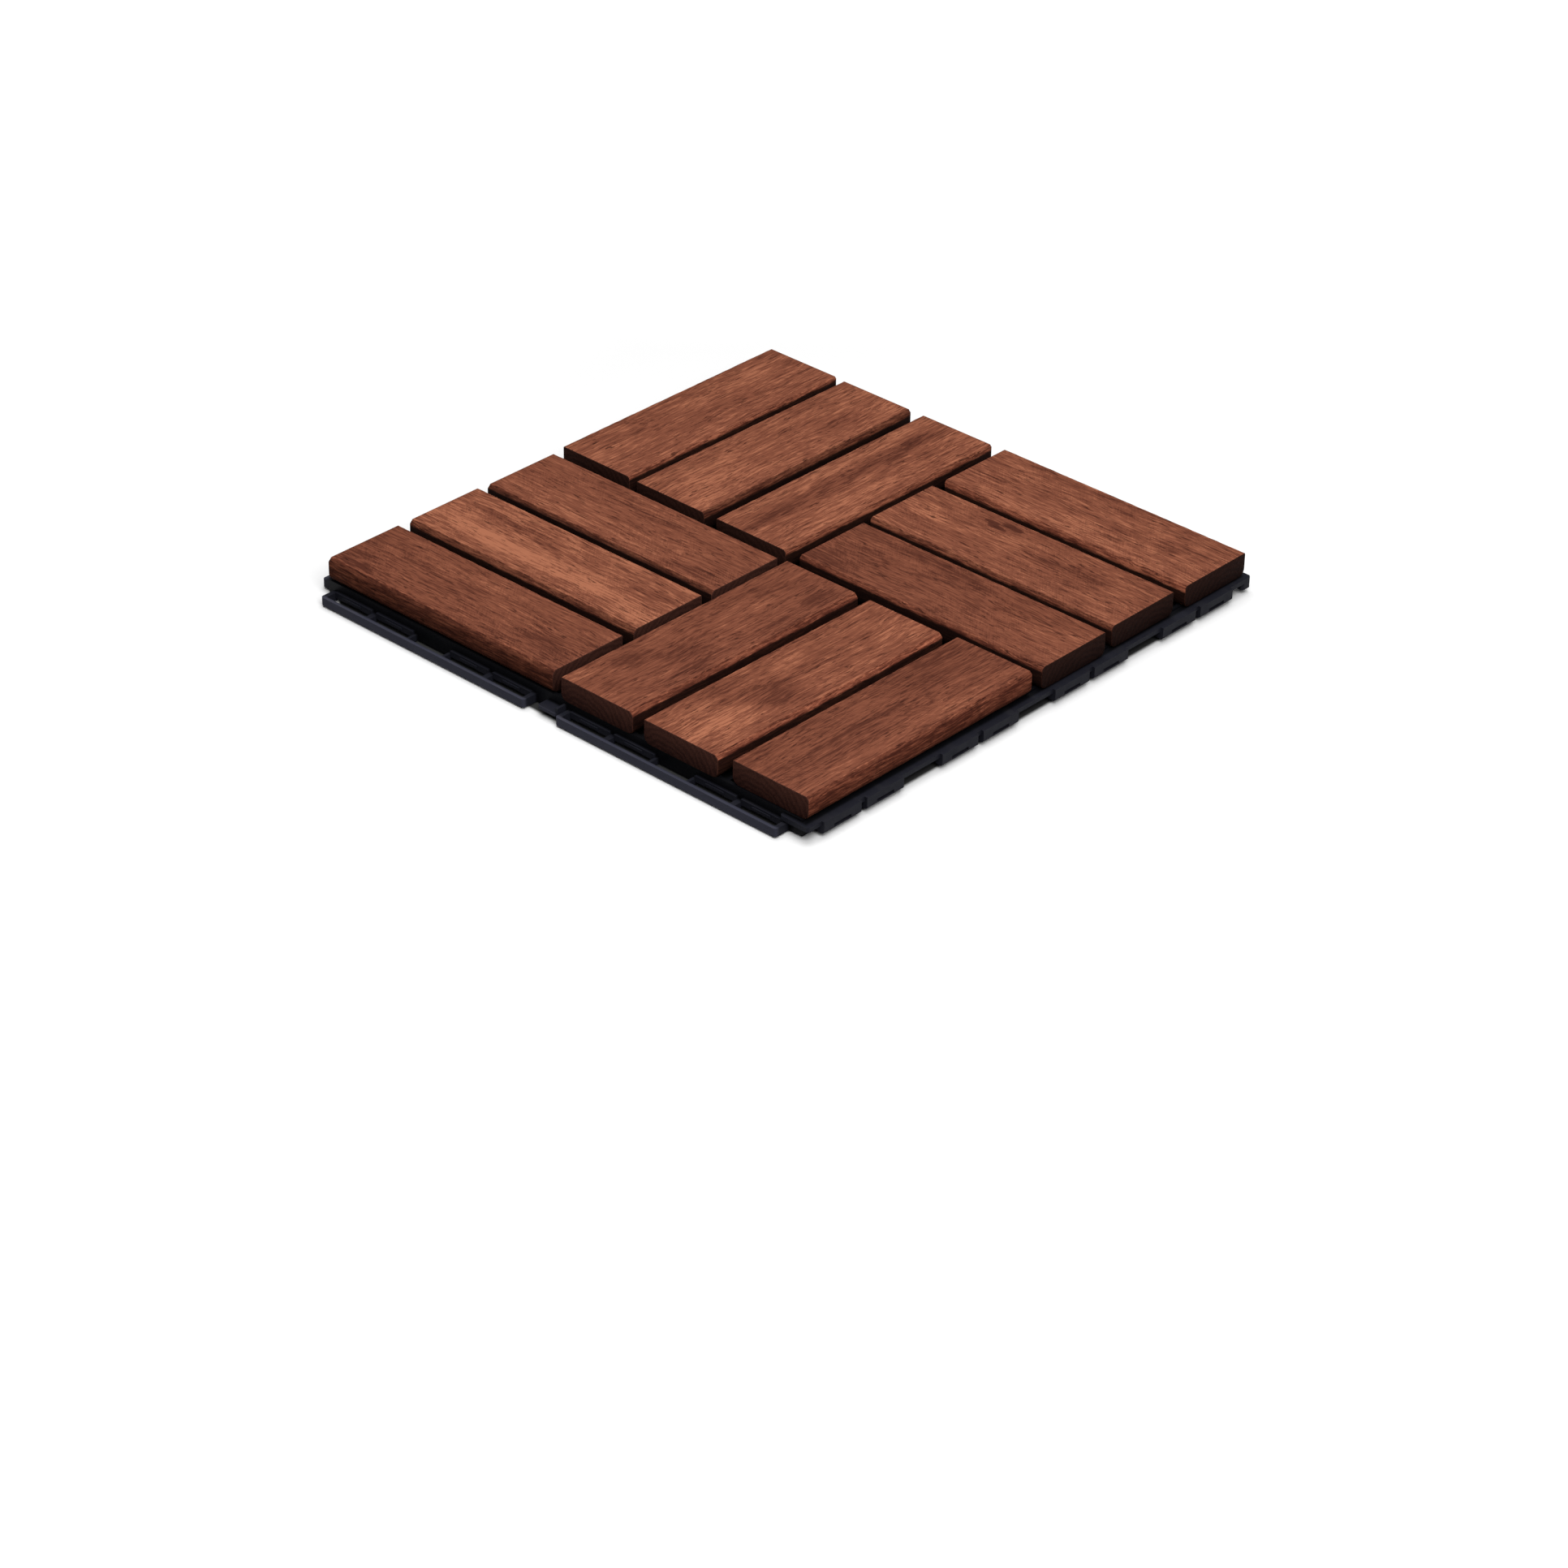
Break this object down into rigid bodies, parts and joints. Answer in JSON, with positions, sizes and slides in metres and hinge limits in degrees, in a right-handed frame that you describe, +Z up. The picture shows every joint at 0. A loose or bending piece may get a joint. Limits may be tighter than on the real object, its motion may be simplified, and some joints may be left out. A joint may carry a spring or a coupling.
{
  "type": "interlocking deck tile",
  "caption": "Square outdoor floor tile: oiled hardwood slats in a four-square parquet on a slotted plastic base whose side lugs clip into the next tile's sockets.",
  "frame": {"origin": "centre of the square of slats, on the ground under the middle foot", "axes": "+Z up; socket sides face -X and -Y, lug sides face +X and +Y"},
  "size_m": [0.3127, 0.3127, 0.021],
  "materials": {
    "oiled_wood": "oiled, satin",
    "base_plastic": "moulded, matt",
    "screw_steel": "zinc plated"
  },
  "bodies": {
    "root": {"moulded_base": "base_plastic", "slat_left_outer": "oiled_wood", "slat_left_middle": "oiled_wood", "slat_left_inner": "oiled_wood", "slat_back_outer": "oiled_wood", "slat_back_middle": "oiled_wood", "slat_back_inner": "oiled_wood", "slat_right_outer": "oiled_wood", "slat_right_middle": "oiled_wood", "slat_right_inner": "oiled_wood", "slat_front_outer": "oiled_wood", "slat_front_middle": "oiled_wood", "slat_front_inner": "oiled_wood", "slat_screws": "screw_steel"}
  },
  "joints": []
}
